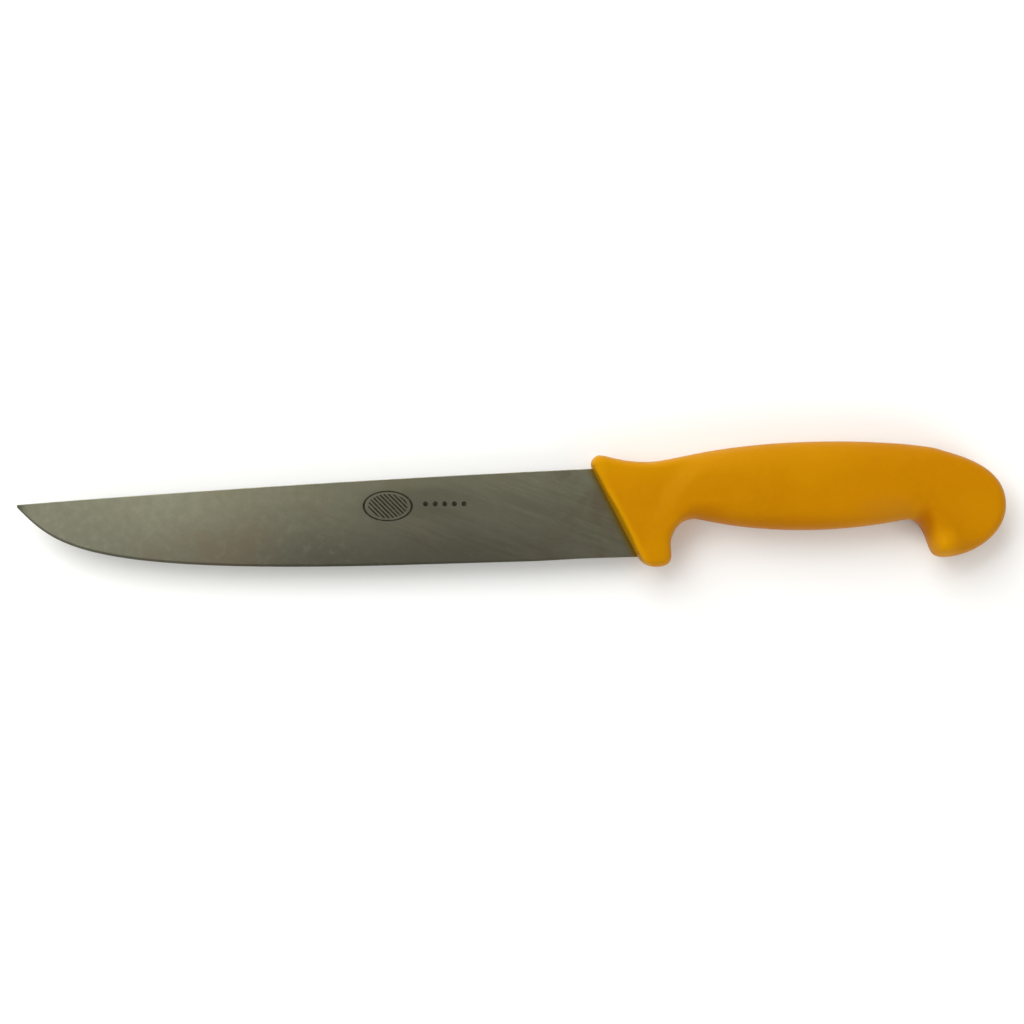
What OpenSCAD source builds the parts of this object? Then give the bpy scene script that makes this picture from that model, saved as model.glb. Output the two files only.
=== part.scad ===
// Butcher's boning knife: a broad, straight steel blade with an upswept belly,
// and one plastic handle moulded over its hidden tang. All sizes are in millimetres.
//
// The knife lies on its right side. +X runs from the tip to the butt, +Y from the
// cutting edge to the spine, and +Z comes out of the left side. The origin is the
// middle of the knife's box in X and Y, on the surface that the handle rests on.
//
// Outlines are drawn about the shoulder, a datum where the spine meets the handle,
// and the whole knife is shifted from there to its origin at the very end.

/* [Blade] */
// Length of the blade from its tip to the shoulder, along the spine
blade_length = 210; // [200:1:220]
// Height of the spine above the datum at the shoulder
spine_height = 6.4; // [6:0.1:7]
// Depth of the cutting edge below the datum at the shoulder
edge_depth = 26.7; // [26:0.1:27.5]
// Angle that the straight stretch of the edge makes with the handle's axis
edge_angle = 1.65; // [1:0.05:2]
// Distance from the shoulder to where the straight edge turns into the belly
belly_start = 68.5; // [60:0.5:80]
// Thickness of the steel at the spine, by the handle
spine_thickness = 3.0; // [2.4:0.1:3.4]
// Thickness of the spine at the tip
tip_thickness = 1.2; // [0.8:0.1:1.8]
// Thickness of the ground faces where the edge bevel starts
bevel_thickness = 0.5; // [0.3:0.05:0.8]
// Width of the small sharpening bevel along the edge
bevel_width = 0.9; // [0.5:0.1:1.5]
// Flat left on the very edge
edge_land = 0.1; // [0.06:0.01:0.2]
// How far the unsharpened heel is cut back from the edge, at the handle
heel_relief = 0.5; // [0:0.1:1]

/* [Tang] */
// Length of the hidden tang behind the shoulder
tang_length = 108; // [95:1:115]
// Width of the tang
tang_width = 13; // [10:0.5:14]
// Thickness of the tang
tang_thickness = 2.8; // [2.4:0.1:3.2]
// How far the full blade goes into the handle behind its slanted front
blade_embed = 7; // [5:0.5:9]
// Number of holes that the plastic fills to lock the tang
keying_holes = 3; // [1:1:4]
// Diameter of each keying hole
keying_hole_d = 6; // [4:0.5:7]

/* [Handle] */
// Length of the handle from the shoulder to the butt
handle_length = 150; // [146:1:156]
// Thickness of the grip across its flat sides
grip_thickness = 20.8; // [19:0.2:23]
// Thickness of the collar plate behind the slanted front
collar_thickness = 15.6; // [13:0.2:16]
// Thickness of the pommel
pommel_thickness = 18.4; // [17:0.2:19]
// Height of the grip's back above the datum
crest_height = 16.4; // [15.5:0.1:17.5]
// Depth of the finger guard below the datum
guard_depth = 29.4; // [28.8:0.1:30.5]
// Lean of the handle's front away from square
front_slant = 27.4; // [26:0.1:29]

/* [Handle rounding] */
// Width in plan of the rounding along the grip
grip_rounding = 12; // [8:0.5:13]
// Width in plan of the rounding along the collar and its front
collar_rounding = 3.2; // [2.4:0.1:4]
// Width in plan of the rounding along the pommel
pommel_rounding = 4.6; // [3:0.2:6]
// Extra thickness of the flared beak below the pommel
beak_flare = 3.4; // [0:0.1:3.6]

/* [Hidden] */
$fn = 64;

// The whole knife
knife_length = blade_length + handle_length;
shoulder = [
    blade_length - knife_length / 2,
    (guard_depth - crest_height) / 2,
    grip_thickness / 2
];

// Blade
heel = [0, -edge_depth];
blade_height = spine_height + edge_depth;
grind_slope = (spine_thickness - bevel_thickness) / 2 / (blade_height - bevel_width);
tip_spine = [-blade_length, -6.8];
tip_edge = [-blade_length, -7.8];
spine_sag = 1.6;
belly_reach = 118.5;
belly_rise = [14.3, -14.2];
belly_steps = 40;
rear_steps = 12;
widest_bevel = 0.5;
heel_relief_start = 24;
front_foot_y = 6;

// Tang
tang_axis_y = -1;
tang_overlap = 4;
keying_first_x = 34;
keying_pitch = 27;

// Handle outline, as two curves from the slanted front to the butt. Each row is
// [x, y, heading, reach before, reach after]: a point, the direction that the curve
// takes through it, and how far it keeps to that direction on either side.
drawn_length = 150;
stretch = handle_length / drawn_length;
back_curve = [
    [ -0.6,    6.9, 90 + front_slant,   0,   2   ],  // root of the nose, on the spine
    [  2.6,   11.3,  -5,                2.2, 4   ],  // top of the nose
    [ 19.9,    8.9,   0,               10,   9.5 ],  // dip for the thumb
    [ 90, crest_height, 0,             45,   8   ],  // crest of the back
    [126,     13.5, -17,                7.5, 9.5 ],  // start of the pommel's curve
    [150,     -6.9, -90,               14,   0   ]   // butt
];
belly_curve = [
    [ 16.1,  -25.3, front_slant - 90,   0,   3.5 ],  // root of the guard, below the heel
    [ 22.8, -guard_depth, 0,            2.5, 7.5 ],  // bottom of the guard
    [ 28.3,  -21.1,  90,                3.5, 3   ],  // rear of the guard
    [ 37,    -11.9,   0,                6.5, 2.5 ],  // top of the finger notch
    [ 76.4,  -16,     0,               24.5,20.5 ],  // belly of the grip
    [114.4,  -12.1,   0,                1,   4.5 ],  // top of the notch before the beak
    [121.8,  -20.3, -69,                4,   3.5 ],  // inner flank of the beak
    [127.5,  -25.8,   0,                4,   9.5 ],  // end of the beak
    [150,     -6.9,  90,               11.5, 0   ]   // butt
];
outline_steps = 10;

// Ribs run across the handle from the belly curve to the back curve. Each row is
// [place on the belly curve, place on the back curve, ribs to the next row].
rib_plan = [
    [0, 0.00, 7], [1, 1.00, 5], [2, 1.90, 6], [3, 2.35, 7], [4, 2.80, 7],
    [5, 3.45, 5], [6, 3.75, 5], [7, 4.15, 12], [8, 5.00, 0]
];
rib_points = 18;
rib_gather = 0.139;
front_rib_power = 1.6;

// The curved fillet where the collar plate rises to the grip. It lets go of the back
// quickly, past its centre.
fillet_centre = [62, -21.5];
fillet_radius = 38.7;
fillet_width = 13;
fillet_release = 2;

// The handle's sides, before their edges round over
collar_swell = 0.3;
collar_swell_end = 30;
grip_centre_x = 75;
grip_droop = 0.00016;
pommel_blend = [100, 132];
crown_width = 45;
crown_axis_y = -0.5;
side_flat = 0.12;
beak_centre = [127.5, -23];
beak_spread = 5.5;

// Where the rounding changes from the collar's to the grip's, and on to the pommel's
collar_rounding_ends = [28, 46];
pommel_rounding_starts = [108, 126];
pommel_rounding_lean = 0.4;
rounding_power = 3;
front_blunt = 0.45;

function mix(a, b, t) = a + (b - a) * t;
function ease(a, b, v) = let(t = min(max((v - a) / (b - a), 0), 1)) t * t * (3 - 2 * t);
function ray(angle) = [cos(angle), sin(angle)];

function bezier(a, b, c, d, t) =
    pow(1 - t, 3) * a + 3 * t * pow(1 - t, 2) * b + 3 * t * t * (1 - t) * c + t * t * t * d;

function anchor(row) = [row.x * stretch, row.y];

// A point at place s on a curve of anchors: 2.5 is halfway from row 2 to row 3.
function along(curve, s) =
    let(
        i = min(floor(s), len(curve) - 2),
        from = curve[i],
        to = curve[i + 1]
    )
    bezier(
        anchor(from),
        anchor(from) + from[4] * ray(from[2]),
        anchor(to) - to[3] * ray(to[2]),
        anchor(to),
        s - i
    );

// ---------------------------------------------------------------- blade

function edge_line(x) = [x, heel.y + tan(edge_angle) * (x - heel.x)];

// Front face of the handle, as a line on the side view.
function front_line(y) = [(front_foot_y - y) * tan(front_slant), y];

// The spine is one shallow arch from the tip to the shoulder.
function spine_line(x) =
    let(t = 1 + x / blade_length)
    [x, pow(1 - t, 2) * tip_spine.y + 2 * t * (1 - t) * spine_sag + t * t * spine_height];

function belly(t) =
    bezier(
        edge_line(-belly_start),
        edge_line(-belly_start - belly_reach),
        tip_edge + belly_rise,
        tip_edge,
        t
    );

// Height of a point above the straight edge, square to it.
function above_edge(p) = (p - heel) * [-sin(edge_angle), cos(edge_angle)];

// Half the steel's thickness at that height: the edge bevel, then the flat grind.
function wedge_half(depth) =
    depth < bevel_width
        ? mix(edge_land, bevel_thickness, depth / bevel_width) / 2
        : bevel_thickness / 2 + grind_slope * (depth - bevel_width);

// A closed ring round the section from a low point to a high one. The three half
// thicknesses are at the low point, at the top of the edge bevel and at the high point.
function section_ring(low, bevel, high, halves) = [
    [low.x, low.y, -halves[0]],
    [bevel.x, bevel.y, -halves[1]],
    [high.x, high.y, -halves[2]],
    [high.x, high.y, halves[2]],
    [bevel.x, bevel.y, halves[1]],
    [low.x, low.y, halves[0]]
];

// The straight rear of the blade, from its end inside the handle (0) to the belly (1).
// Its sides are two true planes. The heel is cut back a little from the edge.
function rear_ring(t) =
    let(
        low_x = mix(front_line(-edge_depth).x + blade_embed, -belly_start, t),
        low = edge_line(low_x) + [0, heel_relief * ease(-heel_relief_start, 0, low_x)],
        high_x = mix(front_line(spine_height).x + blade_embed, belly_spine(0).x, t),
        high = spine_line(high_x),
        rise = (bevel_width - above_edge(low)) / (above_edge(high) - above_edge(low)),
        bevel = mix(low, high, rise)
    )
    section_ring(low, bevel, high, [for (p = [low, bevel, high]) wedge_half(above_edge(p))]);

// The belly, from the straight edge (0) to the tip (1). Each station pairs a point
// on the edge with one on the spine above it, and the steel thins towards the point.
function belly_lean(t) = -sin(edge_angle) * (1 - t) * blade_height;
function belly_spine(t) = spine_line(belly(t).x + belly_lean(t));

function belly_ring(t) =
    let(
        low = belly(t),
        high = belly_spine(t),
        depth = norm(high - low),
        rear_half = wedge_half(above_edge(belly_spine(0))),
        run = (belly(0).x - low.x) / (belly(0).x - tip_edge.x),
        spine_half = mix(rear_half, tip_thickness / 2, run),
        bevel = mix(low, high, min(bevel_width / depth, widest_bevel))
    )
    section_ring(low, bevel, high, [edge_land / 2, bevel_thickness / 2, spine_half]);

// A closed skin over rings of equal length, with a flat cap on each end.
module skin(rings) {
    count = len(rings[0]);
    last = len(rings) - 1;
    polyhedron(
        points = [for (ring = rings) for (p = ring) p],
        faces = concat(
            [[for (i = [count - 1 : -1 : 0]) i]],
            [[for (i = [0 : count - 1]) last * count + i]],
            [for (r = [0 : last - 1]) for (i = [0 : count - 1])
                let(a = r * count + i, b = r * count + (i + 1) % count)
                [a, b, b + count]],
            [for (r = [0 : last - 1]) for (i = [0 : count - 1])
                let(a = r * count + i, b = r * count + (i + 1) % count)
                [a, b + count, a + count]]
        )
    );
}

// The ground steel, from its end inside the handle to the tip.
module ground_blade() {
    skin(concat(
        [for (k = [0 : rear_steps]) rear_ring(k / rear_steps)],
        [for (k = [1 : belly_steps]) belly_ring(k / belly_steps)]
    ));
}

// The tang starts inside the handle, on a slant that follows the handle's front.
module tang() {
    start = [blade_embed - tang_overlap, 0];
    end_x = tang_length - tang_width / 2;
    low_y = tang_axis_y - tang_width / 2;
    high_y = tang_axis_y + tang_width / 2;
    translate([0, 0, -tang_thickness / 2])
        difference() {
            union() {
                linear_extrude(tang_thickness)
                    polygon([
                        front_line(low_y) + start,
                        [end_x, low_y],
                        [end_x, high_y],
                        front_line(high_y) + start
                    ]);
                translate([end_x, tang_axis_y, 0])
                    cylinder(d = tang_width, h = tang_thickness);
            }
            for (k = [0 : keying_holes - 1])
                translate([keying_first_x + k * keying_pitch, tang_axis_y, -1])
                    cylinder(d = keying_hole_d, h = tang_thickness + 2);
        }
}

module steel() {
    ground_blade();
    tang();
}

module blade() {
    color("#7d7c66")
        translate(shoulder)
            steel();
}

// --------------------------------------------------------------- handle

// The outline, anticlockwise from the root of the guard to the root of the nose.
// The slanted front closes it.
outline = concat(
    [for (k = [0 : outline_steps * (len(belly_curve) - 1)]) along(belly_curve, k / outline_steps)],
    [for (k = [outline_steps * (len(back_curve) - 1) - 1 : -1 : 0]) along(back_curve, k / outline_steps)]
);
front_low = outline[0];
front_high = outline[len(outline) - 1];

function to_segment(p, a, b) =
    let(
        side = b - a,
        t = min(max((p - a) * side / (side * side), 0), 1)
    )
    norm(p - a - t * side);

// Distance in from the outline. The front keeps a flat face, as if cut off short of its rounding.
function inset(p) =
    min(
        front_blunt + to_segment(p, front_low, front_high),
        min([for (i = [0 : len(outline) - 2]) to_segment(p, outline[i], outline[i + 1])])
    );

// 0 on the thin collar plate and 1 on the thick grip, across one curved fillet.
function grip_share(p) =
    let(
        within = fillet_radius - norm(p - fillet_centre),
        past = max(p.x - fillet_centre.x, 0)
    )
    ease(-fillet_width / 2, fillet_width / 2, within + fillet_release * past);

function collar_half(p) = collar_thickness / 2 + collar_swell * ease(0, collar_swell_end, p.x);

function grip_half(p) =
    let(
        grip = grip_thickness / 2 + side_flat - grip_droop * pow(p.x - grip_centre_x, 2),
        pommel = pommel_thickness / 2,
        crown = 1 - pow((p.y - crown_axis_y) / crown_width, 2)
    )
    mix(grip, pommel, ease(pommel_blend[0], pommel_blend[1], p.x)) * crown;

function beak(p) = beak_flare * exp(-pow(norm(p - beak_centre) / beak_spread, 2));

function side_half(p) =
    min(grip_thickness / 2, mix(collar_half(p), grip_half(p), grip_share(p)) + beak(p));

// Width in plan of the rounding: the collar's, then the grip's, then the pommel's.
function rounding_at(p) =
    let(
        past_collar = ease(collar_rounding_ends[0], collar_rounding_ends[1], p.x),
        lean = pommel_rounding_lean * min(p.y, 0),
        on_pommel = ease(pommel_rounding_starts[0], pommel_rounding_starts[1], p.x + lean)
    )
    mix(mix(collar_rounding, grip_rounding, past_collar), pommel_rounding, on_pommel);

// Height of the handle's side above its middle plane: zero on the outline.
function side_height(p) =
    let(t = min(inset(p) / rounding_at(p), 1))
    side_half(p) * pow(1 - pow(1 - t, rounding_power), 1 / rounding_power);

// Places along a rib, close together where the side rounds over.
function rib_place(k) =
    let(t = k / rib_points)
    t - rib_gather * sin(360 * t);

ribs = [
    for (row = [0 : len(rib_plan) - 1])
        let(
            from = rib_plan[row],
            to = rib_plan[min(row + 1, len(rib_plan) - 1)],
            steps = max(from[2], 1)
        )
        for (k = [0 : steps - 1])
            let(
                even = k / steps,
                t = row == 0 ? pow(even, front_rib_power) : even
            )
            [
                along(belly_curve, mix(from[0], to[0], t)),
                along(back_curve, mix(from[1], to[1], t))
            ]
];

// The left side is a grid of points, one row to a rib, and the right side mirrors it.
// Both sides share the points on the outline: the butt and the ends of every rib.
left_side = [
    for (rib = ribs) for (k = [0 : rib_points])
        let(p = mix(rib[0], rib[1], rib_place(k)))
        [p.x, p.y, side_height(p)]
];

function on_outline(r, k) = r == len(ribs) - 1 || k == 0 || k == rib_points;

// Index of a grid point. The last rib is the butt, a single point.
function left_index(r, k) = r == len(ribs) - 1 ? r * (rib_points + 1) : r * (rib_points + 1) + k;
function right_index(r, k) = left_index(r, k) + (on_outline(r, k) ? 0 : len(left_side));

function is_face(f) = f[0] != f[1] && f[1] != f[2] && f[2] != f[0];

module handle_body() {
    quads = [for (r = [0 : len(ribs) - 2]) for (k = [0 : rib_points - 1]) [r, k]];
    left = [for (q = quads) [for (c = [[0, 0], [0, 1], [1, 1], [1, 0]])
        left_index(q[0] + c[0], q[1] + c[1])]];
    right = [for (q = quads) [for (c = [[1, 0], [1, 1], [0, 1], [0, 0]])
        right_index(q[0] + c[0], q[1] + c[1])]];
    triangles = [for (f = concat(left, right)) for (t = [[f[0], f[1], f[2]], [f[0], f[2], f[3]]])
        if (is_face(t)) t];
    front = concat(
        [for (k = [rib_points : -1 : 0]) left_index(0, k)],
        [for (k = [1 : rib_points - 1]) right_index(0, k)]
    );
    polyhedron(
        points = concat(left_side, [for (p = left_side) [p.x, p.y, -p.z]]),
        faces = concat([front], triangles)
    );
}

module handle() {
    color("#e09a12")
        translate(shoulder)
            difference() {
                handle_body();
                steel();
            }
}

blade();
handle();
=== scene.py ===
# Looks of a butcher's boning knife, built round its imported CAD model: a ground steel blade
# and an amber plastic handle moulded over the blade's tang.
#
# Shapes are worked out in millimetres on the knife's side view, about the shoulder, the point
# where the spine meets the handle. +X runs to the butt, +Y to the spine, +Z out of the left side.
import math

import bmesh
import bpy
import numpy as np
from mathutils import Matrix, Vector


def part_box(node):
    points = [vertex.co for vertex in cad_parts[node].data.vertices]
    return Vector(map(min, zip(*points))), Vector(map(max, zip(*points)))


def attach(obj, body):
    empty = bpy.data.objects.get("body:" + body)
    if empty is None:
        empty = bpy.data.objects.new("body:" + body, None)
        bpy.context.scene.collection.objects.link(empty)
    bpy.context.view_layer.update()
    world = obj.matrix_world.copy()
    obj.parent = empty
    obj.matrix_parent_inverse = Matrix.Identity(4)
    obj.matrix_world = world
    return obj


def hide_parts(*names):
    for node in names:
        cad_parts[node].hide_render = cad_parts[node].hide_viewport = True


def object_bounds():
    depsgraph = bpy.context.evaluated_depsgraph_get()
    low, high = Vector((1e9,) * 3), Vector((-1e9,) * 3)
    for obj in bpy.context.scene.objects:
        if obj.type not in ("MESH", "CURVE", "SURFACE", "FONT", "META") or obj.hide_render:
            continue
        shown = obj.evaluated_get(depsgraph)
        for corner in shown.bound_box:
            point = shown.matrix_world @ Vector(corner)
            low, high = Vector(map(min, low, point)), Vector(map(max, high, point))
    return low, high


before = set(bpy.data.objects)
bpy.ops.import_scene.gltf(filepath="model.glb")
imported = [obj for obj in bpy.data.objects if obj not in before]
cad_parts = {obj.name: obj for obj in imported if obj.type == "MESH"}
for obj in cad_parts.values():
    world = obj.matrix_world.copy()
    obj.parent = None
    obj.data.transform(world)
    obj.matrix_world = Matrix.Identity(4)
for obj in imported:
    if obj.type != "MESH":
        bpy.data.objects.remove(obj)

MM = 0.001
cad_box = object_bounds()
blade_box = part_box("blade")
handle_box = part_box("handle")

# ---------------------------------------------------------------- sizes, in millimetres

HANDLE_LENGTH = 150
CREST_HEIGHT = 16.4
SHOULDER = np.array([
    handle_box[1].x / MM - HANDLE_LENGTH,
    handle_box[1].y / MM - CREST_HEIGHT,
    (handle_box[0].z + handle_box[1].z) / 2 / MM,
])
BLADE_LENGTH = SHOULDER[0] - blade_box[0].x / MM
HALF_GRIP = (handle_box[1].z - handle_box[0].z) / 2 / MM

# Blade
SPINE_HEIGHT = 6.4
EDGE_DEPTH = 26.7
EDGE_ANGLE = math.radians(1.65)
BELLY_START = 68.5
BELLY_REACH = 118.5
BELLY_RISE = np.array([14.3, -14.2])
TIP_SPINE = np.array([-BLADE_LENGTH, -6.8])
TIP_EDGE = np.array([-BLADE_LENGTH, -7.8])
SPINE_SAG = 1.6
SPINE_HALF = 1.5
TIP_HALF = 0.6
BEVEL_HALF = 0.25
BEVEL_WIDTH = 0.9
LAND_HALF = 0.05
HEEL_RELIEF = 0.5
HEEL_RELIEF_START = 24
BLADE_EMBED = 7
SPINE_EASE = 0.18
REAR_STEPS = 44
BELLY_STEPS = 130
SIDE_STEPS = 10
EASE_STEPS = 5
# The most of a section's height that its edge bevel and its eased corner may take
BEVEL_SHARE = 0.45
EASE_SHARE = 0.2
# Extra points just below and just above the bevel's crease, as shares of its height
BELOW_CREASE = 0.9
ABOVE_CREASE = 1.12

# Tang
TANG_START = 3
TANG_LENGTH = 108
TANG_WIDTH = 13
TANG_HALF = 1.4
TANG_AXIS_Y = -1
KEYING_HOLES_X = (34, 61, 88)
KEYING_HOLE_D = 6
TANG_END_POINTS = 33
KEYING_HOLE_POINTS = 48

# Handle outline, as two curves from the slanted front to the butt. Each row is
# [x, y, heading, reach before, reach after].
FRONT_SLANT = math.radians(27.4)
FRONT_FOOT_Y = 6
BACK_CURVE = [
    [-0.6, 6.9, 117.4, 0, 2],        # root of the nose, on the spine
    [2.6, 11.3, -5, 2.2, 4],         # top of the nose
    [19.9, 8.9, 0, 10, 9.5],         # dip for the thumb
    [90, CREST_HEIGHT, 0, 45, 8],    # crest of the back
    [126, 13.5, -17, 7.5, 9.5],      # start of the pommel's curve
    [HANDLE_LENGTH, -6.9, -90, 14, 0],
]
BELLY_CURVE = [
    [16.1, -25.3, -62.6, 0, 3.5],    # root of the guard, below the heel
    [22.8, -29.4, 0, 2.5, 7.5],      # bottom of the guard
    [28.3, -21.1, 90, 3.5, 3],       # rear of the guard
    [37, -11.9, 0, 6.5, 2.5],        # top of the finger notch
    [76.4, -16, 0, 24.5, 20.5],      # belly of the grip
    [114.4, -12.1, 0, 1, 4.5],       # top of the notch before the beak
    [121.8, -20.3, -69, 4, 3.5],     # inner flank of the beak
    [127.5, -25.8, 0, 4, 9.5],       # end of the beak
    [HANDLE_LENGTH, -6.9, 90, 11.5, 0],
]
# Ribs cross the handle from the belly curve to the back curve. Each row is
# [place on the belly curve, place on the back curve, ribs to the next row].
RIB_PLAN = [
    [0, 0.00, 44], [1, 1.00, 30], [2, 1.90, 34], [3, 2.35, 46], [4, 2.80, 46],
    [5, 3.45, 30], [6, 3.75, 30], [7, 4.15, 70], [8, 5.00, 0],
]
RIB_POINTS = 104
RIB_SAMPLES = 700
# How strongly the ribs crowd towards the front and the butt, and a rib's samples towards its ends
FRONT_CROWDING = 1.6
BUTT_CROWDING = 2.2
SAMPLE_CROWDING = 4
# A rib's points keep this far apart, or this much turn apart, and are closer by the parting line.
POINT_GAP = 1.6
POINT_TURN = math.radians(4)
PARTING_POINT_GAP = 0.1

# Handle sides
COLLAR_HALF = 7.8
COLLAR_SWELL = 0.3
COLLAR_SWELL_END = 30
POMMEL_HALF = 9.2
POMMEL_BLEND = (100, 132)
GRIP_CENTRE_X = 75
GRIP_DROOP = 0.00016
CROWN_WIDTH = 45
CROWN_AXIS_Y = -0.5
FILLET_CENTRE = np.array([62, -21.5])
FILLET_RADIUS = 38.7
FILLET_WIDTH = 10.5
# Each millimetre behind the fillet's centre counts as this many farther into the grip.
FILLET_PULL = 2
BEAK_CENTRE = np.array([127.5, -23])
BEAK_SPREAD = 5.5
BEAK_FLARE = 3.4
COLLAR_ROUNDING = 3.2
GRIP_ROUNDING = 12
GRIP_ROUNDING_BLEND = (26, 48)
POMMEL_ROUNDING = 4.6
POMMEL_ROUNDING_BLEND = (106, 128)
POMMEL_ROUNDING_LEAN = 0.4
ROUNDING_POWER = 3
FRONT_BLUNT = 0.45
CORNER_BLEND = 4
# Parting line: its height, its half width, and how far from it the points crowd and the sides
# are drawn in
PARTING_HEIGHT = 0.05
PARTING_HALF = 0.22
PARTING_REACH = 2.5 * PARTING_HALF
PARTING_FADE = 6
# The handle's skin stays this far inside the CAD handle's box.
BOX_MARGIN = 0.001
# Edges shorter than this are collapsed after a cut.
SLIVER = 0.003
# Stands in for a length of zero in a division
TINY = 1e-12

# Etched device: an oval ring round hatching, and a row of dots behind it
DEVICE_CENTRE = (-74.8, -7.2)
DEVICE_REACH = (9.2, 5.6)
HATCH_HALF_PITCH = 0.85
FIRST_DOT = (-61.0, -6.4)
DOT_HALF_PITCH = 1.75
DOT_ROW = (-62.5, -45.5)
DOT_ROW_FADE = 0.1

# Depth of the surface relief that the shaders add, in metres, and the share of it that shows
STEEL_RELIEF = 0.000008
PLASTIC_RELIEF = 0.00003
RELIEF_STRENGTH = 0.5

# Scene, in metres
FLOOR_HALF_SIDE = 6.0
CAMERA_HEIGHT = 1.037
CAMERA_OFFSET = Vector((0.00046, -0.00287, 0))


def mix(a, b, t):
    """From a to b, by a share t."""
    return a + (b - a) * t


def ease(a, b, v):
    """A soft step from 0 to 1 as v goes from a to b."""
    t = np.clip((v - a) / (b - a), 0, 1)
    return t * t * (3 - 2 * t)


def smoother(a, b, v):
    """A softer step, without a visible line at either end."""
    t = np.clip((v - a) / (b - a), 0, 1)
    return t ** 3 * (t * (6 * t - 15) + 10)


def bezier(a, b, c, d, t):
    """Points on a cubic curve from a to d."""
    return (1 - t) ** 3 * a + 3 * t * (1 - t) ** 2 * b + 3 * t * t * (1 - t) * c + t ** 3 * d


def length(v):
    """Lengths of vectors kept along the last axis."""
    return np.sqrt((v * v).sum(-1))


# ---------------------------------------------------------------- meshes

def to_row_frame(points):
    """Millimetres about the shoulder, as metres in the frame."""
    return (np.asarray(points) + SHOULDER) * MM


def make_piece(name, points, faces):
    """A mesh object with outward normals, from points about the shoulder."""
    mesh = bpy.data.meshes.new(name)
    mesh.from_pydata(to_row_frame(points).tolist(), [], faces)
    work = bmesh.new()
    work.from_mesh(mesh)
    bmesh.ops.recalc_face_normals(work, faces=work.faces)
    work.to_mesh(mesh)
    work.free()
    piece = bpy.data.objects.new(name, mesh)
    bpy.context.scene.collection.objects.link(piece)
    return piece


def combine(piece, other, operation):
    """Joins another closed solid to a piece, or cuts it out of the piece."""
    step = piece.modifiers.new("combine", "BOOLEAN")
    step.operation = operation
    step.solver = "MANIFOLD"
    step.object = other
    bpy.context.view_layer.update()
    result = piece.evaluated_get(bpy.context.evaluated_depsgraph_get())
    mesh = bpy.data.meshes.new_from_object(result)
    piece.modifiers.remove(step)
    old = piece.data
    piece.data = mesh
    bpy.data.meshes.remove(old)
    mesh.name = piece.name


def drop_slivers(piece):
    """Collapses the tiniest edges and faces. The skin stays closed."""
    work = bmesh.new()
    work.from_mesh(piece.data)
    bmesh.ops.dissolve_degenerate(work, dist=SLIVER * MM, edges=work.edges)
    work.to_mesh(piece.data)
    work.free()


def remove(piece):
    bpy.data.objects.remove(piece)


def shade(piece, sharp_angle):
    """Smooth shading, with creases where faces meet at more than the angle."""
    piece.data.shade_smooth()
    piece.data.set_sharp_from_angle(angle=math.radians(sharp_angle))


def distinct(corners):
    """A face's corners without repeats."""
    return [p for i, p in enumerate(corners) if p not in corners[:i]]


def grid_faces(rows, columns, index, closed=False):
    """Quads of a grid of points. index gives a point's number from its row and column."""
    faces = []
    for r in range(rows - 1):
        for c in range(columns if closed else columns - 1):
            after = (c + 1) % columns
            corners = [index(r, c), index(r, after), index(r + 1, after), index(r + 1, c)]
            kept = distinct(corners)
            if len(kept) > 2:
                faces.append(kept)
    return faces


# ---------------------------------------------------------------- blade

def edge_line(x):
    """Points on the straight cutting edge."""
    return np.stack([x, -EDGE_DEPTH + math.tan(EDGE_ANGLE) * x], -1)


def front_x(y):
    """Where the handle's slanted front crosses a height."""
    return (FRONT_FOOT_Y - y) * math.tan(FRONT_SLANT)


def spine_line(x):
    """Points on the spine, which sags slightly from the handle to the tip."""
    t = 1 + x / BLADE_LENGTH
    y = (1 - t) ** 2 * TIP_SPINE[1] + 2 * t * (1 - t) * SPINE_SAG + t * t * SPINE_HEIGHT
    return np.stack([x, y], -1)


def above_edge(p):
    """Height of a point above the straight edge, square to it."""
    return -math.sin(EDGE_ANGLE) * p[..., 0] + math.cos(EDGE_ANGLE) * (p[..., 1] + EDGE_DEPTH)


def wedge_half(depth):
    """Half the steel's thickness on the flat grind."""
    height = SPINE_HEIGHT + EDGE_DEPTH
    slope = (SPINE_HALF - BEVEL_HALF) / (height - BEVEL_WIDTH)
    return BEVEL_HALF + slope * (depth - BEVEL_WIDTH)


def blade_stations():
    """Edge points, the spine points above them, and half the steel's thickness at the spine."""
    t = np.linspace(0, 1, REAR_STEPS + 1)
    lean = -math.sin(EDGE_ANGLE) * (SPINE_HEIGHT + EDGE_DEPTH)
    low = edge_line(mix(front_x(-EDGE_DEPTH) + BLADE_EMBED, -BELLY_START, t))
    low[:, 1] += HEEL_RELIEF * ease(-HEEL_RELIEF_START, 0, low[:, 0])
    high = spine_line(mix(front_x(SPINE_HEIGHT) + BLADE_EMBED, -BELLY_START + lean, t))
    half = wedge_half(above_edge(high))

    t = (np.arange(BELLY_STEPS) + 1) / BELLY_STEPS
    start = edge_line(np.array(-BELLY_START))
    reach = edge_line(np.array(-BELLY_START - BELLY_REACH))
    belly = bezier(start, reach, TIP_EDGE + BELLY_RISE, TIP_EDGE, t[:, None])
    belly_high = spine_line(belly[:, 0] + lean * (1 - t))
    run = (start[0] - belly[:, 0]) / (start[0] - TIP_EDGE[0])
    belly_half = mix(half[-1], TIP_HALF, run)
    return (
        np.concatenate([low, belly]),
        np.concatenate([high, belly_high]),
        np.concatenate([half, belly_half]),
    )


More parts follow.
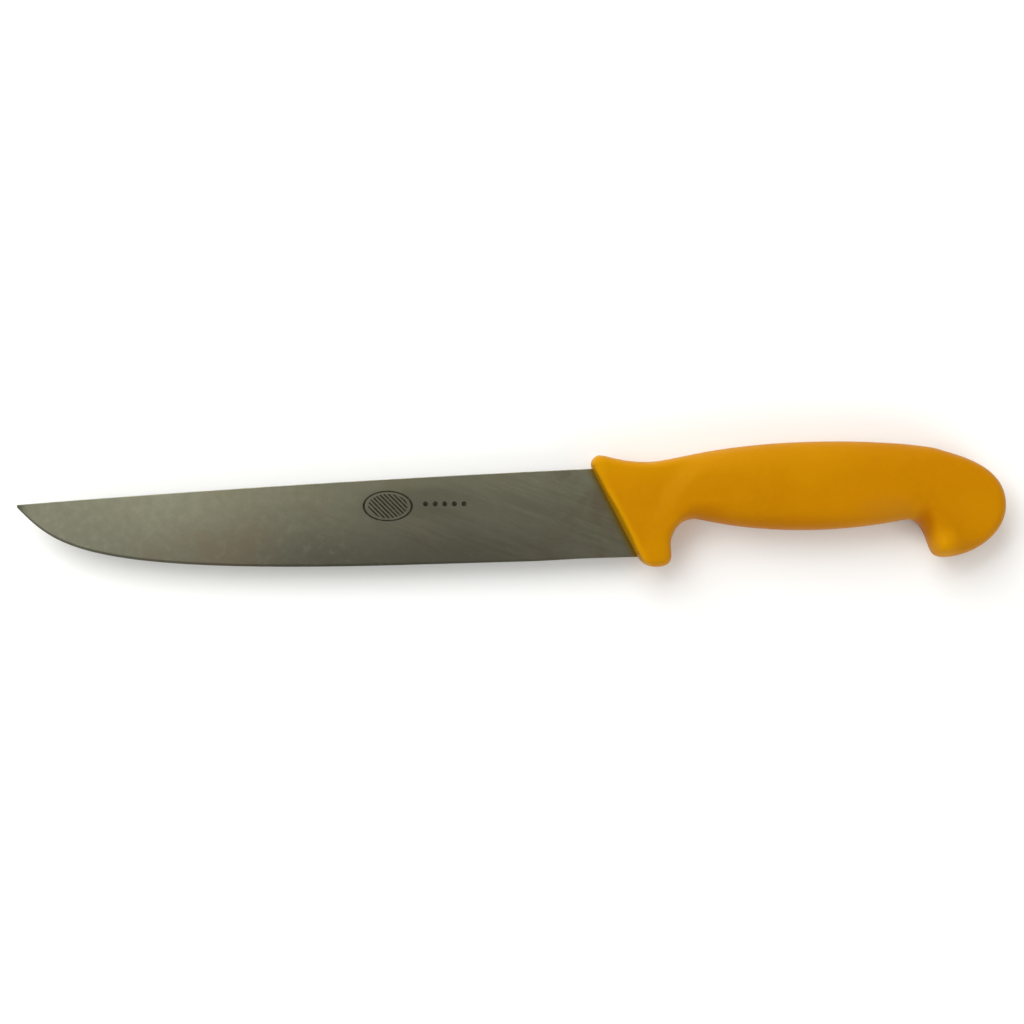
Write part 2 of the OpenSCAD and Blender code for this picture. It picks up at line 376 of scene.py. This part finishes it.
def section_columns(depth, half):
    """One side of every section, as heights above the edge and half thicknesses: the land, the
    edge bevel, the flat grind and the eased corner of the spine."""
    bevel = np.minimum(BEVEL_WIDTH, depth * BEVEL_SHARE)
    corner = np.minimum(SPINE_EASE, depth * EASE_SHARE)
    support = corner / 2
    straight_end = depth - corner
    heights = [0 * depth, bevel * BELOW_CREASE, bevel, bevel * ABOVE_CREASE]
    for k in range(1, SIDE_STEPS):
        heights.append(mix(bevel * ABOVE_CREASE, straight_end - support, k / SIDE_STEPS))
    heights += [straight_end - support, straight_end]
    halves = []
    for h in heights:
        on_bevel = mix(LAND_HALF, BEVEL_HALF, h / bevel)
        on_grind = mix(BEVEL_HALF, half, (h - bevel) / (depth - bevel))
        halves.append(np.where(h < bevel, on_bevel, on_grind))
    grind_top = halves[-1]
    for k in range(1, EASE_STEPS + 1):
        turn = math.pi / 2 * k / EASE_STEPS
        heights.append(straight_end + corner * math.sin(turn))
        halves.append(grind_top - corner * (1 - math.cos(turn)))
    return np.stack(heights, 1), np.stack(halves, 1)


def make_ground_blade():
    """The blade and its few millimetres inside the handle, as one closed skin of sections."""
    low, high, half = blade_stations()
    depth = length(high - low)
    heights, halves = section_columns(depth, half)
    up = (high - low) / depth[:, None]
    plan = low[:, None, :] + heights[..., None] * up[:, None, :]
    right = np.concatenate([plan, -halves[..., None]], -1)
    left = np.concatenate([plan, halves[..., None]], -1)
    rings = np.concatenate([right, left[:, ::-1]], 1)
    rows, columns = rings.shape[:2]
    faces = grid_faces(rows, columns, lambda r, c: r * columns + c, closed=True)
    # The two ends are closed by strips from side to side.
    for r in (0, rows - 1):
        for c in range(columns // 2 - 1):
            a = r * columns + c
            b = r * columns + columns - 1 - c
            faces.append([a, a + 1, b - 1, b])
    return make_piece("blade", rings.reshape(-1, 3), faces)


def extrude(name, outline, half):
    """A flat plate or pin about the middle plane, from its outline."""
    n = len(outline)
    points = [[x, y, z] for z in (-half, half) for x, y in outline]
    faces = [list(range(n)), list(range(n, 2 * n))]
    faces += [[i, (i + 1) % n, n + (i + 1) % n, n + i] for i in range(n)]
    return make_piece(name, points, faces)


def arc(centre, radius, start, end, count):
    """Points on an arc, between two angles in degrees."""
    x, y = centre
    turns = np.radians(np.linspace(start, end, count))
    return [[x + radius * math.cos(t), y + radius * math.sin(t)] for t in turns]


def make_tang():
    """The hidden tang. It starts inside the handle, on a slant that follows the handle's front."""
    half_width = TANG_WIDTH / 2
    corners_y = (TANG_AXIS_Y + half_width, TANG_AXIS_Y - half_width)
    outline = [[front_x(y) + TANG_START, y] for y in corners_y]
    end = (TANG_LENGTH - half_width, TANG_AXIS_Y)
    outline += arc(end, half_width, -90, 90, TANG_END_POINTS)
    tang = extrude("tang", outline, TANG_HALF)
    for x in KEYING_HOLES_X:
        ring = arc((x, TANG_AXIS_Y), KEYING_HOLE_D / 2, 0, 360, KEYING_HOLE_POINTS + 1)[:-1]
        pin = extrude("pin", ring, 2 * TANG_HALF)
        combine(tang, pin, "DIFFERENCE")
        remove(pin)
    return tang


# ---------------------------------------------------------------- handle

def along(curve, places):
    """Points on a curve of anchors, where place 2.5 is halfway from row 2 to row 3."""
    rows = np.array(curve, float)
    i = np.minimum(places.astype(int), len(rows) - 2)
    start, end = rows[i], rows[i + 1]
    leave, arrive = np.radians(start[:, 2]), np.radians(end[:, 2])
    a, d = start[:, :2], end[:, :2]
    b = a + start[:, 4:] * np.stack([np.cos(leave), np.sin(leave)], 1)
    c = d - end[:, 3:4] * np.stack([np.cos(arrive), np.sin(arrive)], 1)
    return bezier(a, b, c, d, (places - i)[:, None])


def rib_ends():
    """Where the ribs start on the belly curve and end on the back curve."""
    belly_places, back_places = [], []
    last = len(RIB_PLAN) - 2
    for row in range(last + 1):
        start, end = RIB_PLAN[row], RIB_PLAN[row + 1]
        t = np.arange(start[2]) / start[2]
        if row == 0:
            t = t ** FRONT_CROWDING
        if row == last:
            t = 1 - (1 - t) ** BUTT_CROWDING
        belly_places += list(mix(start[0], end[0], t))
        back_places += list(mix(start[1], end[1], t))
    belly_places.append(RIB_PLAN[-1][0])
    back_places.append(RIB_PLAN[-1][1])
    return along(BELLY_CURVE, np.array(belly_places)), along(BACK_CURVE, np.array(back_places))


def to_segments(points, a, b):
    """Shortest distance from each point to any of the segments from a to b."""
    side = b - a
    gap = points[:, None, :] - a[None]
    t = np.clip((gap * side).sum(-1) / (side * side).sum(-1), 0, 1)
    return length(gap - t[..., None] * side).min(1)


def inset(points, outline):
    """Distance in from the outline. The front counts as a little farther off, so it stays blunt."""
    sides = to_segments(points, outline[:-1], outline[1:])
    front = FRONT_BLUNT + to_segments(points, outline[:1], outline[-1:])
    blend = (sides ** CORNER_BLEND + front ** CORNER_BLEND) ** (1 / CORNER_BLEND)
    return sides * front / blend


def side_half(p):
    """Half the handle's thickness, before its edges round over."""
    x, y = p[:, 0], p[:, 1]
    collar = COLLAR_HALF + COLLAR_SWELL * ease(0, COLLAR_SWELL_END, x)
    crown = 1 - ((y - CROWN_AXIS_Y) / CROWN_WIDTH) ** 2
    grip = HALF_GRIP - GRIP_DROOP * (x - GRIP_CENTRE_X) ** 2
    grip = mix(grip, POMMEL_HALF, ease(*POMMEL_BLEND, x)) * crown
    behind = np.maximum(x - FILLET_CENTRE[0], 0)
    within = FILLET_RADIUS - length(p - FILLET_CENTRE) + behind * FILLET_PULL
    share = smoother(-FILLET_WIDTH / 2, FILLET_WIDTH / 2, within)
    beak = BEAK_FLARE * np.exp(-(length(p - BEAK_CENTRE) / BEAK_SPREAD) ** 2)
    return mix(collar, grip, share) + beak


def rounding_at(p):
    """How far in from the outline the sides round over."""
    x, y = p[:, 0], p[:, 1]
    leaned = x + np.minimum(y, 0) * POMMEL_ROUNDING_LEAN
    front = mix(COLLAR_ROUNDING, GRIP_ROUNDING, smoother(*GRIP_ROUNDING_BLEND, x))
    return mix(front, POMMEL_ROUNDING, smoother(*POMMEL_ROUNDING_BLEND, leaned))


def side_height(p, outline):
    """Height of the left side above the middle plane."""
    t = np.clip(inset(p, outline) / rounding_at(p), 0, 1)
    return side_half(p) * (1 - (1 - t) ** ROUNDING_POWER) ** (1 / ROUNDING_POWER)


def rib_path(start, end, outline):
    """A rib over the left side, with its points packed where the side turns over."""
    u = np.linspace(0, 1, RIB_SAMPLES)
    first_half = 0.5 * (2 * u) ** SAMPLE_CROWDING
    last_half = 1 - 0.5 * (2 - 2 * u) ** SAMPLE_CROWDING
    share = np.where(u < 0.5, first_half, last_half)
    plan = start + (end - start) * share[:, None]
    z = side_height(plan, outline)
    path = np.concatenate([plan, z[:, None]], 1)
    step = np.diff(path, axis=0)
    size = np.maximum(length(step), TINY)
    turn = np.zeros(len(size))
    cosine = ((step[1:] * step[:-1]).sum(1) / (size[1:] * size[:-1])).clip(-1, 1)
    turn[1:] = np.arccos(cosine)
    near_parting = size * (z[1:] < PARTING_REACH)
    need = size / POINT_GAP + turn / POINT_TURN + near_parting / PARTING_POINT_GAP
    measure = np.concatenate([[0], np.cumsum(need)])
    chosen = np.linspace(0, measure[-1], RIB_POINTS)
    return np.stack([np.interp(chosen, measure, path[:, i]) for i in range(3)], 1)


def raise_parting_line(grid, belly, back):
    """Draws the sides in by a hair, so that the mould's parting line stands proud."""
    for ends, turn, columns in (
        (belly, 1, slice(0, RIB_POINTS // 2)),
        (back, -1, slice(RIB_POINTS // 2, RIB_POINTS)),
    ):
        tangent = np.gradient(ends, axis=0)
        tangent /= length(tangent)[:, None]
        inward = np.stack([-tangent[:, 1], tangent[:, 0]], 1) * turn
        z = grid[:, columns, 2]
        away = length(grid[:, columns, :2] - ends[:, None])
        share = (1 - np.exp(-(z / PARTING_HALF) ** 2)) * (1 - ease(0, PARTING_FADE, away))
        grid[:, columns, :2] += PARTING_HEIGHT * share[..., None] * inward[:, None]
    return grid


def make_handle_body():
    """The handle's closed skin: ribs over the left side, their mirror, and a strip at the front."""
    belly, back = rib_ends()
    outline = np.concatenate([belly, back[-2::-1]])
    grid = np.array([rib_path(a, b, outline) for a, b in zip(belly[:-1], back[:-1])])
    grid = raise_parting_line(grid, belly[:-1], back[:-1])
    ribs = len(grid)
    left = grid.reshape(-1, 3)
    points = np.concatenate([left, left * [1, 1, -1], [[*belly[-1], 0]]])
    low, high = (np.array(corner) / MM - SHOULDER for corner in handle_box)
    points = points.clip(low + BOX_MARGIN, high - BOX_MARGIN)
    butt = 2 * len(left)

    def left_index(r, c):
        return butt if r == ribs else r * RIB_POINTS + c

    def right_index(r, c):
        on_outline = r == ribs or c in (0, RIB_POINTS - 1)
        return left_index(r, c) + (0 if on_outline else len(left))

    faces = grid_faces(ribs + 1, RIB_POINTS, left_index)
    faces += grid_faces(ribs + 1, RIB_POINTS, right_index)
    for c in range(RIB_POINTS - 1):
        left_corners = [left_index(0, c), left_index(0, c + 1)]
        corners = left_corners + [right_index(0, c + 1), right_index(0, c)]
        faces.append(distinct(corners))
    return make_piece("handle", points, faces)


# ---------------------------------------------------------------- materials

class Shader:
    """Builds one material. Each method adds a node and gives back its output."""

    def __init__(self, name):
        self.material = bpy.data.materials.new(name)
        self.material.use_nodes = True
        self.tree = self.material.node_tree
        self.tree.nodes.clear()

    def node(self, kind, inputs, **settings):
        """A node whose inputs are other nodes' outputs or plain values."""
        node = self.tree.nodes.new(kind)
        for name, value in settings.items():
            setattr(node, name, value)
        for key, value in inputs.items():
            if isinstance(value, bpy.types.NodeSocket):
                self.tree.links.new(value, node.inputs[key])
            else:
                node.inputs[key].default_value = value
        return node

    def math(self, operation, a, b=0.0):
        return self.node("ShaderNodeMath", {0: a, 1: b}, operation=operation).outputs[0]

    def product(self, value, *others):
        for other in others:
            value = self.math("MULTIPLY", value, other)
        return value

    def span(self, value, low, high, out_low=0.0, out_high=1.0):
        """A smooth step from one value to another."""
        inputs = {
            "Value": value,
            "From Min": low,
            "From Max": high,
            "To Min": out_low,
            "To Max": out_high,
        }
        node = self.node("ShaderNodeMapRange", inputs, interpolation_type="SMOOTHSTEP")
        return node.outputs["Result"]

    def blend(self, factor, a, b):
        """Colour a, turning to colour b by the factor."""
        node = self.node("ShaderNodeMix", {}, data_type="RGBA")
        for key, value in ((0, factor), (6, a), (7, b)):
            if isinstance(value, bpy.types.NodeSocket):
                self.tree.links.new(value, node.inputs[key])
            else:
                node.inputs[key].default_value = value if key == 0 else (*value, 1)
        return node.outputs[2]

    def millimetres(self):
        """Object coordinates about the shoulder, in millimetres."""
        place = self.node("ShaderNodeTexCoord", {}).outputs["Object"]
        inputs = {"Vector": place, "Location": [-v for v in SHOULDER], "Scale": [1 / MM] * 3}
        return self.node("ShaderNodeMapping", inputs).outputs[0]

    def streaked(self, place, angle, along_scale, across_scale):
        """Coordinates stretched along one direction of the side view."""
        turn = (0, 0, -math.radians(angle))
        turned = self.node("ShaderNodeMapping", {"Vector": place, "Rotation": turn}).outputs[0]
        inputs = {"Vector": turned, "Scale": (along_scale, across_scale, across_scale)}
        return self.node("ShaderNodeMapping", inputs).outputs[0]

    def noise(self, place, scale, detail=2.0, roughness=0.5):
        inputs = {"Vector": place, "Scale": scale, "Detail": detail, "Roughness": roughness}
        return self.node("ShaderNodeTexNoise", inputs).outputs[0]

    def round_from(self, x, y, centre, reach_x, reach_y):
        """Distance from a centre, as a share of an oval's reach: 1 on the oval."""
        across = self.math("DIVIDE", self.math("SUBTRACT", x, centre[0]), reach_x)
        up = self.math("DIVIDE", self.math("SUBTRACT", y, centre[1]), reach_y)
        squares = self.math("ADD", self.math("POWER", across, 2.0), self.math("POWER", up, 2.0))
        return self.math("SQRT", squares)

    def behind_front(self, x, y):
        """Distance behind the handle's slanted front."""
        across = self.product(x, math.cos(FRONT_SLANT))
        up = self.product(y, math.sin(FRONT_SLANT))
        foot = FRONT_FOOT_Y * math.sin(FRONT_SLANT)
        return self.math("SUBTRACT", self.math("ADD", across, up), foot)

    def bump(self, height, distance, strength):
        inputs = {"Height": height, "Distance": distance, "Strength": strength}
        return self.node("ShaderNodeBump", inputs).outputs[0]

    def finish(self, **sockets):
        """Adds the surface shader, with an underscore for each space in its sockets' names."""
        named = {key.replace("_", " "): value for key, value in sockets.items()}
        surface = self.node("ShaderNodeBsdfPrincipled", named)
        output = self.node("ShaderNodeOutputMaterial", {"Surface": surface.outputs[0]})
        output.is_active_output = True
        return self.material


def rgb(red, green, blue):
    """A colour given as it looks on a screen, 0 to 255, as linear light."""
    return tuple((v / 255) ** 2.2 for v in (red, green, blue))


# Steel
STEEL = rgb(131, 131, 111)
STEEL_WARM = rgb(131, 128, 106)
STEEL_LOW = rgb(93, 91, 78)
STEEL_MIDDLE = rgb(78, 77, 68)
STEEL_DEVICE_ZONE = rgb(84, 83, 70)
STEEL_TIP = rgb(106, 107, 93)
STEEL_REAR = rgb(98, 95, 80)
MOTTLE_DARK = rgb(96, 92, 80)
MOTTLE_PALE = rgb(150, 152, 128)
STAIN = rgb(116, 98, 82)
SPOT = rgb(108, 92, 80)
SCRATCH = rgb(90, 89, 76)
# Painted reflection of the amber handle in the steel, and painted shade in the corner against the
# handle
PAINTED_HANDLE_REFLECTION = rgb(126, 106, 46)
PAINTED_JOINT_SHADE = rgb(130, 104, 22)
ETCH = rgb(44, 44, 38)

# Plastic
AMBER = rgb(178, 116, 6)
AMBER_DEEP = rgb(172, 112, 6)
AMBER_MOTTLE = rgb(182, 119, 4)
SCUFF = rgb(190, 134, 24)
# Painted light and shade on the plastic: a lit upper side, a shaded belly, a highlight along the
# lip, and shade against the blade
PAINTED_TOP_LIGHT = rgb(187, 129, 7)
PAINTED_BELLY_SHADE = rgb(160, 92, 2)
PAINTED_LIP_HIGHLIGHT = rgb(200, 144, 8)
PAINTED_RIM_SHADE = rgb(108, 83, 5)
SPECULAR = (1.0, 0.78, 0.2, 1.0)

# Painted highlights on the plastic, then painted shade in its crooks and two darker patches. Each
# row is
# [centre, reach along X, reach along Y, share, colour].
PAINTED_HIGHLIGHT_PATCHES = (
    ((127, -21), 6.5, 9, 0.5, rgb(200, 142, 8)),     # beak
    ((140, -10), 13, 14, 0.4, rgb(188, 126, 6)),     # pommel
    ((24, -24), 9, 10, 0.38, rgb(192, 132, 8)),      # guard
)
# Painted shade in the crook of the beak and in the finger notch, and darker patches before the beak
# and on the pommel's lower edge
SHADE_AND_DARK_PATCHES = (
    ((120, -14), 4.8, 9.5, 0.62, rgb(146, 78, 2)),   # crook of the beak
    ((107, -8), 16, 7.0, 0.40, rgb(174, 114, 28)),   # grip before the beak
    ((40, -10), 12, 5.5, 0.40, rgb(156, 90, 2)),     # finger notch
    ((137, -21), 8, 3.5, 0.22, rgb(166, 108, 26)),   # lower edge of the pommel
)


def etched_device(s, x, y, z):
    """A plain maker's device on the left side: a hatched oval in a ring, and a row of dots."""
    oval = s.round_from(x, y, DEVICE_CENTRE, *DEVICE_REACH)
    ring = s.span(s.math("ABSOLUTE", s.math("SUBTRACT", oval, 0.95)), 0.055, 0.035)
    lines = s.math("PINGPONG", s.math("ADD", x, y), HATCH_HALF_PITCH)
    hatch = s.product(s.span(lines, 0.35, 0.5), s.span(oval, 0.80, 0.77))
    from_dot = s.math("PINGPONG", s.math("SUBTRACT", x, FIRST_DOT[0]), DOT_HALF_PITCH)
    dot = s.round_from(from_dot, y, (0, FIRST_DOT[1]), 1.0, 1.0)
    after_start = s.span(x, DOT_ROW[0] - DOT_ROW_FADE, DOT_ROW[0] + DOT_ROW_FADE)
    before_end = s.span(x, DOT_ROW[1] + DOT_ROW_FADE, DOT_ROW[1] - DOT_ROW_FADE)
    dots = s.product(s.span(dot, 1.0, 0.85), after_start, before_end)
    mark = s.math("MAXIMUM", s.math("MAXIMUM", ring, hatch), dots)
    wear_and_highlight = s.span(s.noise(s.millimetres(), 0.8, 4.0, 0.7), 0.25, 0.55, 0.55, 1.0)
    return s.product(mark, wear_and_highlight, s.span(z, -0.01, 0.01))


def ground_steel_tone(s, place, x, from_edge):
    """Olive grey with soft clouds, darker towards the edge and in the blade's middle."""
    clouds = s.span(s.noise(place, 0.035, 2.0, 0.5), 0.35, 0.65)
    tone = s.blend(clouds, STEEL, STEEL_WARM)
    low_share = s.span(from_edge, -4, EDGE_DEPTH + SPINE_HEIGHT, 0.75, 0.0)
    tone = s.blend(s.product(low_share, s.span(x, -15, 10, 1.0, 0.35)), tone, STEEL_LOW)
    middle = s.product(
        s.span(x, -150, -95, 0.0, 0.5),
        s.span(x, -10, -50),
        s.span(from_edge, 17, 3, 0.42, 1.0),
    )
    tone = s.blend(middle, tone, STEEL_MIDDLE)
    # Darker round the etched device, but not close to the spine.
    device_zone = s.product(
        s.span(x, -92, -76),
        s.span(x, -38, -58),
        s.span(from_edge, 12, 22, 0.0, 0.4),
        s.span(from_edge, 25.5, 30, 1.0, 0.1),
    )
    tone = s.blend(device_zone, tone, STEEL_DEVICE_ZONE)
    # It is also darker towards the tip, and over the lower part of the rear.
    tone = s.blend(s.span(x, -152, -192, 0.0, 0.6), tone, STEEL_TIP)
    rear = s.product(s.span(x, -75, -42), s.span(from_edge, 30, 20, 0.0, 0.24))
    return s.blend(rear, tone, STEEL_REAR)


def stained_steel_tone(s, place, x, from_edge, tone):
    """Adds mottle towards the tip, brown stains low on the belly, and spots near the handle."""
    mottle = s.noise(place, 0.30, 5.0, 0.65)
    mottled = s.span(x, -60, -110, 0.3, 1.0)
    darker = s.product(s.span(mottle, 0.42, 0.72, 0.0, 0.2), mottled)
    tone = s.blend(darker, tone, MOTTLE_DARK)
    paler = s.product(s.span(mottle, 0.5, 0.28, 0.0, 0.15), mottled)
    tone = s.blend(paler, tone, MOTTLE_PALE)
    stain_at = s.product(s.span(x, -175, -140), s.span(x, -108, -128), s.span(from_edge, 22, 8))
    stains = s.noise(place, 0.07, 3.0, 0.55)
    stain_and_shade = s.product(stain_at, s.span(stains, 0.35, 0.65, 0.12, 0.34))
    tone = s.blend(stain_and_shade, tone, STAIN)
    spots = s.span(s.noise(place, 0.08, 4.0, 0.6), 0.42, 0.66)
    return s.blend(s.product(spots, s.span(x, -30, -4, 0.05, 0.40)), tone, SPOT)


def painted_joint_steel_tone(s, place, x, y, from_edge, tone):
    """Adds a painted amber reflection of the handle and painted shade in the corner against the
    handle, wider towards the edge.
    """
    ragged = s.product(s.noise(place, 0.9, 3.0), 0.5)
    near_front = s.math("ADD", s.behind_front(x, y), ragged)
    # Painted reflection of the amber handle, close to its front
    tone = s.blend(s.span(near_front, -3.0, -0.2, 0.0, 0.75), tone, PAINTED_HANDLE_REFLECTION)
    # Painted shade in the corner against the handle, wider towards the edge
    reach = s.math("ADD", near_front, s.span(from_edge, 26, 8, 0.0, 0.35))
    return s.blend(s.span(reach, -0.9, 0.1, 0.0, 0.9), tone, PAINTED_JOINT_SHADE)


def steel_material():
    """Ground steel, with its polishing scratches, stains and etched device."""
    s = Shader("blade_steel")
    place = s.millimetres()
    x, y, z = s.node("ShaderNodeSeparateXYZ", {0: place}).outputs
    above_line = s.math("SUBTRACT", y, s.product(x, math.tan(EDGE_ANGLE)))
    from_edge = s.math("ADD", above_line, EDGE_DEPTH)

    # Polishing scratches run down towards the handle, with a few stray ones across them.
    fine = s.noise(s.streaked(place, -23, 0.10, 3.2), 1.0, 4.0, 0.65)
    broad = s.noise(s.streaked(place, -21, 0.035, 0.8), 1.0, 3.0, 0.6)
    stray = s.span(s.noise(s.streaked(place, -38, 0.05, 2.0), 1.0, 2.0, 0.5), 0.66, 0.70)

    tone = ground_steel_tone(s, place, x, from_edge)
    tone = stained_steel_tone(s, place, x, from_edge, tone)
    tone = s.blend(s.span(fine, 0.3, 0.75, 0.0, 0.09), tone, SCRATCH)
    # Painted reflection of the handle and painted shade against it
    tone = painted_joint_steel_tone(s, place, x, y, from_edge, tone)
    etched = etched_device(s, x, y, z)
    tone = s.blend(etched, tone, ETCH)

    rough = s.span(broad, 0.3, 0.7, 0.35, 0.39)
    rough = s.math("ADD", rough, s.product(stray, 0.06))
    rough = s.math("ADD", rough, s.product(etched, 0.15))
    height = s.math("ADD", fine, s.product(broad, 0.08))
    height = s.math("SUBTRACT", height, s.product(stray, 0.3))
    height = s.math("SUBTRACT", height, etched)
    normal = s.bump(height, STEEL_RELIEF, RELIEF_STRENGTH)
    return s.finish(Base_Color=tone, Metallic=1.0, Roughness=rough, Normal=normal)


def lit_and_shaded_plastic_tone(s, x, y, behind, tone):
    """Painted light and shade: the collar and the back are painted lighter, the belly of the grip
    is painted darker, and the lip along the slanted front, the nose above it, the beak, the pommel
    and the guard carry painted highlights."""
    # Painted light: the upper side, which faces the lamps, is lighter and yellower
    top_light = s.product(
        s.span(y, -3, 11, 0.15, 0.75),
        s.span(x, 30, 48, 1.0, 0.6),
        s.span(x, 110, 76),
    )
    tone = s.blend(top_light, tone, PAINTED_TOP_LIGHT)
    # Painted shade on the belly of the grip, which faces away from the lamps
    belly_shade = s.product(
        s.span(x, 29, 36),
        s.span(x, 98, 72, 0.4, 1.0),
        s.span(x, 121, 114),
        s.span(y, -8.5, -14.5, 0.0, 0.5),
    )
    tone = s.blend(belly_shade, tone, PAINTED_BELLY_SHADE)
    # Painted highlight along the rounded lip of the slanted front and over the nose
    reach = s.math("SUBTRACT", behind, s.span(y, 3, 9, 0.0, 2.2))
    lip = s.product(
        s.span(reach, 3.8, 1.4),
        s.span(behind, 0.2, 1.4, 0.3, 1.0),
        s.span(y, 4, -8, 0.28, 0.5),
    )
    tone = s.blend(lip, tone, PAINTED_LIP_HIGHLIGHT)
    # Painted highlights on the beak, the pommel and the guard
    for centre, reach_x, reach_y, share, wear_and_highlight in PAINTED_HIGHLIGHT_PATCHES:
        away = s.round_from(x, y, centre, reach_x, reach_y)
        tone = s.blend(s.span(away, 1.0, 0.1, 0.0, share), tone, wear_and_highlight)
    return tone


def shade_and_patch_plastic_tone(s, x, y, z, behind, tone):
    """Adds painted shade in the corner against the blade, in the crook of the beak and in the
    finger notch, and darker patches before the beak and on the pommel's lower edge.
    """
    # Painted shade on the steep lip against the blade, wider lower down
    widened = s.product(s.span(y, -1, -9, 0.0, 0.6), s.span(y, -23, -17))
    reach = s.math("SUBTRACT", behind, widened)
    rim = s.product(
        s.span(reach, 1.3, 0.2, 0.0, 0.66),
        s.span(y, 8.5, 6.5),
        s.span(s.math("ABSOLUTE", z), 4.6, 6.2, 0.3, 1.0),
    )
    tone = s.blend(rim, tone, PAINTED_RIM_SHADE)
    # Painted shade in the crooks, and the darker patches
    for centre, reach_x, reach_y, share, stain_and_shade in SHADE_AND_DARK_PATCHES:
        away = s.round_from(x, y, centre, reach_x, reach_y)
        tone = s.blend(s.span(away, 1.0, 0.25, 0.0, share), tone, stain_and_shade)
    return tone


def plastic_material():
    """Amber moulded plastic, finely pored and scuffed, with painted light and shade."""
    s = Shader("handle_plastic")
    place = s.millimetres()
    x, y, z = s.node("ShaderNodeSeparateXYZ", {0: place}).outputs
    behind = s.behind_front(x, y)
    clouds = s.noise(place, 0.05, 3.0, 0.5)
    mottle = s.noise(place, 0.45, 3.0, 0.6)
    pores = s.noise(place, 3.2, 3.0, 0.6)
    scuffs = s.span(s.noise(s.streaked(place, 14, 0.06, 1.6), 1.0, 3.0, 0.5), 0.62, 0.74)

    tone = s.blend(s.span(clouds, 0.35, 0.65), AMBER, AMBER_DEEP)
    tone = s.blend(s.span(mottle, 0.35, 0.7, 0.0, 0.4), tone, AMBER_MOTTLE)
    tone = s.blend(s.product(scuffs, 0.10), tone, SCUFF)
    # Painted light and painted shade on the collar, grip, lip, beak, pommel and guard
    tone = lit_and_shaded_plastic_tone(s, x, y, behind, tone)
    # Painted shade against the blade and in the crooks, and two darker patches
    tone = shade_and_patch_plastic_tone(s, x, y, z, behind, tone)

    rough = s.span(mottle, 0.3, 0.7, 0.42, 0.52)
    height = s.math("ADD", pores, s.product(mottle, 0.8))
    height = s.math("SUBTRACT", height, s.product(scuffs, 0.35))
    normal = s.bump(height, PLASTIC_RELIEF, RELIEF_STRENGTH)
    return s.finish(
        Base_Color=tone,
        Roughness=rough,
        Normal=normal,
        IOR=1.46,
        Specular_IOR_Level=0.10,
        Specular_Tint=SPECULAR,
        Subsurface_Weight=0.12,
        Subsurface_Radius=(1.0, 0.45, 0.08),
        Subsurface_Scale=0.002,
    )


def floor_material():
    """A matt, almost white floor."""
    s = Shader("pale_floor")
    place = s.millimetres()
    tone = s.blend(s.noise(place, 0.004, 2.0), rgb(246, 246, 244), rgb(242, 242, 241))
    return s.finish(Base_Color=tone, Roughness=0.9, Specular_IOR_Level=0.2)


# ---------------------------------------------------------------- scene

def make_floor(height):
    """A large flat floor at a height."""
    side = FLOOR_HALF_SIDE
    corners = [
        (-side, -side, height),
        (side, -side, height),
        (side, side, height),
        (-side, side, height),
    ]
    mesh = bpy.data.meshes.new("floor")
    mesh.from_pydata(corners, [], [[0, 1, 2, 3]])
    floor = bpy.data.objects.new("floor", mesh)
    bpy.context.scene.collection.objects.link(floor)
    return floor


def add_softbox(name, azimuth, elevation, distance, size, power, target):
    """A soft square light, aimed at the knife. Azimuth 0 is over +X, and 90 over +Y."""
    turn, tilt = math.radians(azimuth), math.radians(elevation)
    level = math.cos(tilt)
    away = Vector((level * math.cos(turn), level * math.sin(turn), math.sin(tilt)))
    light = bpy.data.lights.new(name, "AREA")
    light.size = size
    light.energy = power
    lamp = bpy.data.objects.new(name, light)
    lamp.location = target + away * distance
    lamp.rotation_euler = away.to_track_quat("Z", "Y").to_euler()
    bpy.context.scene.collection.objects.link(lamp)


def set_world(zenith, horizon):
    """A soft room, darker overhead than at the walls."""
    world = bpy.data.worlds.new("studio")
    world.use_nodes = True
    bpy.context.scene.world = world
    nodes, links = world.node_tree.nodes, world.node_tree.links
    nodes.clear()
    place = nodes.new("ShaderNodeTexCoord")
    split = nodes.new("ShaderNodeSeparateXYZ")
    level = nodes.new("ShaderNodeMapRange")
    level.inputs["To Min"].default_value = horizon
    level.inputs["To Max"].default_value = zenith
    background = nodes.new("ShaderNodeBackground")
    background.inputs["Color"].default_value = (1, 1, 0.98, 1)
    output = nodes.new("ShaderNodeOutputWorld")
    links.new(place.outputs["Generated"], split.inputs[0])
    links.new(split.outputs["Z"], level.inputs["Value"])
    links.new(level.outputs["Result"], background.inputs["Strength"])
    links.new(background.outputs[0], output.inputs["Surface"])


def add_camera(centre):
    """Straight above the knife, with the whole of it in view."""
    data = bpy.data.cameras.new("camera")
    data.lens = 100
    data.sensor_width = 36
    camera = bpy.data.objects.new("camera", data)
    camera.location = centre + CAMERA_OFFSET + Vector((0, 0, CAMERA_HEIGHT))
    bpy.context.scene.collection.objects.link(camera)
    bpy.context.scene.camera = camera


centre = (cad_box[0] + cad_box[1]) / 2

blade = make_ground_blade()
tang = make_tang()
combine(blade, tang, "UNION")
remove(tang)
handle = make_handle_body()
combine(handle, blade, "DIFFERENCE")
drop_slivers(handle)
shade(blade, 30)
shade(handle, 40)

for piece, name, node, slot, material in (
    (blade, "blade_steel", "blade", "blade_steel", steel_material()),
    (handle, "handle_moulding", "handle", "handle_plastic", plastic_material()),
):
    piece.name = name
    piece.data.materials.clear()
    piece.data.materials.append(material)
    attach(piece, "root")
    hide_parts(node)

floor = make_floor(cad_box[0].z)
floor.data.materials.append(floor_material())

for name, azimuth, elevation, distance, size, power in (
    ("key", 118, 45, 1.2, 1.1, 13),
    ("window", 172, 62, 1.3, 0.7, 3.0),
    ("fill", -45, 32, 1.4, 0.8, 5),
):
    add_softbox(name, azimuth, elevation, distance, size, power, centre)
set_world(zenith=0.25, horizon=1.1)
add_camera(centre)
bpy.context.scene.view_settings.view_transform = "Standard"
